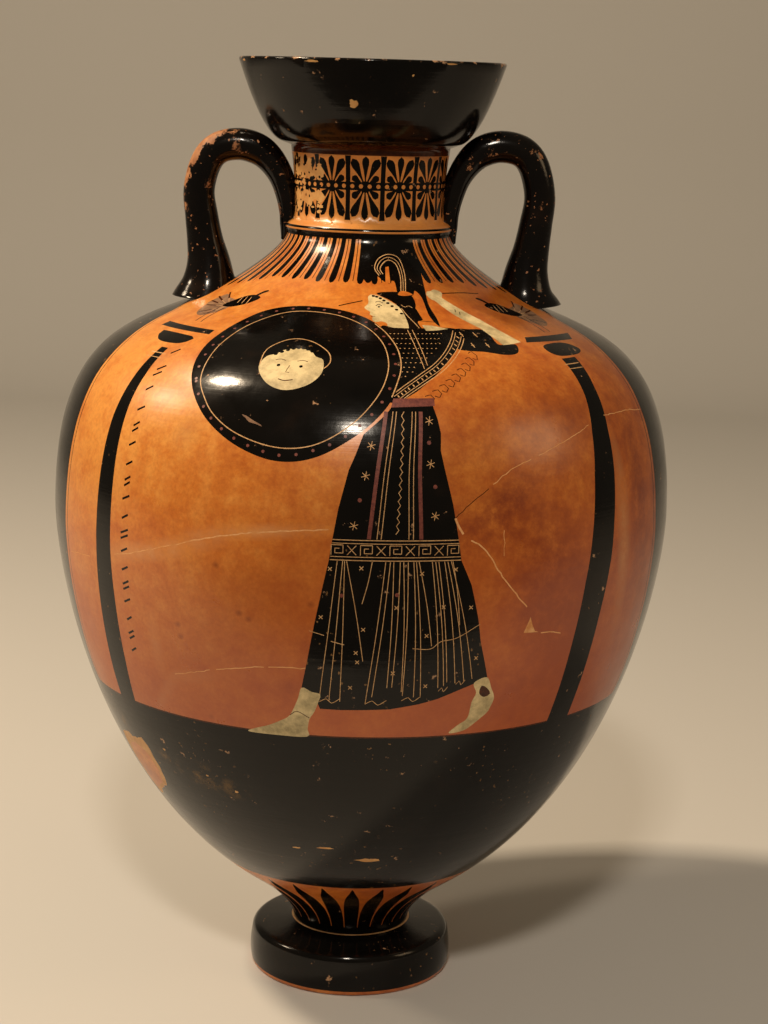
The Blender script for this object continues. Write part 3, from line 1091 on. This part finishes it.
def worn_slip():
    """Black slip on the rods: glossy, brown where it is thin, specked, and rubbed to bare clay in places."""
    material = bpy.data.materials.new("worn_black_slip")
    material.use_nodes = True
    tree = material.node_tree
    shader = tree.nodes["Principled BSDF"]
    shader.inputs["Specular IOR Level"].default_value = 0.28
    where = add(tree, "TexCoord", out=3)
    sideways = add(tree, "SeparateXYZ", where)
    upward = add(tree, "SeparateXYZ", where, out=2)
    cloud = add(tree, "TexNoise", where, grains(22), 5.0, 0.55)
    slip = add(tree, "ValToRGB", cloud, stops=[(0.3, "080606"), (0.6, "0F0B09"), (0.8, "20140D")])
    grit = add(tree, "TexNoise", where, grains(5), 3.0, 0.55)
    clay = add(tree, "ValToRGB", grit, stops=[(0.3, "8C5632"), (0.7, "B9835A")])
    wear = add(tree, "TexNoise", where, grains(13.3), 8.0, 0.75)
    high = add(tree, "MapRange", upward, 0.50, 0.57, 0.0, 0.09)
    # The left handle is rubbed along its outer edge, where a hand or a wall would touch it.
    facing = add(tree, "NewGeometry", out=1)
    outward = add(tree, "VectorMath", facing, (-0.8, -0.35, 0.48), operation="DOT_PRODUCT")
    edge = add(tree, "MapRange", outward, 0.60, 0.95, 0.0, 0.20)
    raised = add(tree, "MapRange", upward, 0.495, 0.53, 0.0, 1.0)
    left = add(tree, "MapRange", sideways, -0.02, -0.06, 0.0, 1.0)
    edge = add(tree, "Math", edge, raised, 0.045, operation="MULTIPLY_ADD")
    edge = add(tree, "Math", edge, left, operation="MULTIPLY")
    wear = add(tree, "Math", wear, add(tree, "Math", high, edge, operation="ADD"), operation="ADD")
    rubbed = add(tree, "MapRange", wear, 0.69, 0.73, 0.0, 1.0)
    specks = add(tree, "TexNoise", where, grains(2.6), 2.0, 0.45)
    specks = add(tree, "MapRange", specks, 0.69, 0.715, 0.0, 0.85)
    rubbed = add(tree, "Math", rubbed, specks, operation="MAXIMUM")
    tree.links.new(add(tree, "Mix", rubbed, slip, clay, data_type="RGBA"), shader.inputs["Base Color"])
    tree.links.new(add(tree, "Mix", rubbed, 0.15, 0.55, data_type="FLOAT"), shader.inputs["Roughness"])
    dents = add(tree, "TexNoise", where, grains(16.7), 5.0, 0.55)
    tree.links.new(add(tree, "Bump", 0.25, 0.0015, None, dents), shader.inputs["Normal"])
    return material


handle_material = worn_slip()
for name, side, sag in (("left_handle", -1, 3.0), ("right_handle", 1, 0.0)):
    rings, sides = rod(side, sag)
    mesh = bpy.data.meshes.new(name)
    mesh.from_pydata(rings.tolist(), [], sides)
    mesh.polygons.foreach_set("use_smooth", np.ones(len(sides), bool))
    mesh.materials.append(handle_material)
    handle = bpy.data.objects.new(name, mesh)
    bpy.context.scene.collection.objects.link(handle)
    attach(handle, "root")

# Floor, light and camera.
# A plain pale paper sweep, which ends a little in front of the vessel so that the mouth mirrors a dark room,
# and soft lamps: two on the left, one above the view and a weak one on the right.
SWEEP_FRONT, SWEEP_BACK, SWEEP_BEND, SWEEP_TOP, SWEEP_SIDE = -0.5, 2.6, 0.5, 4.0, 4.0
turn = np.linspace(0.2, 1.57, 8)
depth = np.concatenate([[SWEEP_FRONT, SWEEP_BACK], SWEEP_BACK + SWEEP_BEND * np.sin(turn),
                        [SWEEP_BACK + SWEEP_BEND]])
rise = np.concatenate([[0.0, 0.0], SWEEP_BEND - SWEEP_BEND * np.cos(turn), [SWEEP_TOP]])
sweep = bpy.data.meshes.new("floor")
corners = [(x, y, z - 0.0002) for y, z in zip(depth, rise) for x in (-SWEEP_SIDE, SWEEP_SIDE)]
sweep.from_pydata(corners, [], [(2 * k, 2 * k + 1, 2 * k + 3, 2 * k + 2) for k in range(len(depth) - 1)])
sweep.polygons.foreach_set("use_smooth", np.ones(len(sweep.polygons), bool))
floor = bpy.data.objects.new("floor", sweep)
bpy.context.scene.collection.objects.link(floor)
paper = bpy.data.materials.new("pale_paper")
paper.use_nodes = True
shader = paper.node_tree.nodes["Principled BSDF"]
shader.inputs["Base Color"].default_value = colour_of("C8C6C2")
shader.inputs["Roughness"].default_value = 0.9
sweep.materials.append(paper)


def lamp(name, place, aim, size, power, tint):
    """A square soft lamp that points at aim."""
    light = bpy.data.lights.new(name, "AREA")
    light.size = size
    light.energy = power
    light.color = colour_of(tint)[:3]
    item = bpy.data.objects.new(name, light)
    item.location = place
    item.rotation_euler = (Vector(aim) - Vector(place)).to_track_quat("-Z", "Y").to_euler()
    bpy.context.scene.collection.objects.link(item)


lamp("left_lamp", (-1.46, 0.02, 2.48), (0, 0, 0.35), 0.26, 60, "FFE6C4")
lamp("side_lamp", (-2.19, 0.10, 1.82), (0, 0, 0.35), 0.30, 16, "FFE6C4")
lamp("front_lamp", (-0.14, -2.05, 2.1), (0, 0, 0.35), 0.24, 30, "FFF0DC")
lamp("right_lamp", (2.4, -0.9, 1.5), (0, 0, 0.3), 0.9, 9, "FFD9A8")
world = bpy.data.worlds.new("room")
bpy.context.scene.world = world
world.use_nodes = True
room = world.node_tree.nodes["Background"]
room.inputs["Color"].default_value = colour_of("E6D2B4")
room.inputs["Strength"].default_value = 0.16

camera_data = bpy.data.cameras.new("camera")
camera_data.lens = 76.24
camera_data.sensor_width = 36.0
camera_data.clip_start = 0.05
camera = bpy.data.objects.new("camera", camera_data)
camera.location = (0.0, -1.4397, 0.6075)
pitch, yaw, roll = math.radians(90 - 11.291), math.radians(-0.616), math.radians(1.645)
camera.rotation_mode = "QUATERNION"
camera.rotation_quaternion = (Quaternion((0, 0, 1), yaw) @ Quaternion((1, 0, 0), pitch)
                              @ Quaternion((0, 0, 1), roll))
bpy.context.scene.collection.objects.link(camera)
bpy.context.scene.camera = camera
bpy.context.scene.view_settings.view_transform = "Standard"
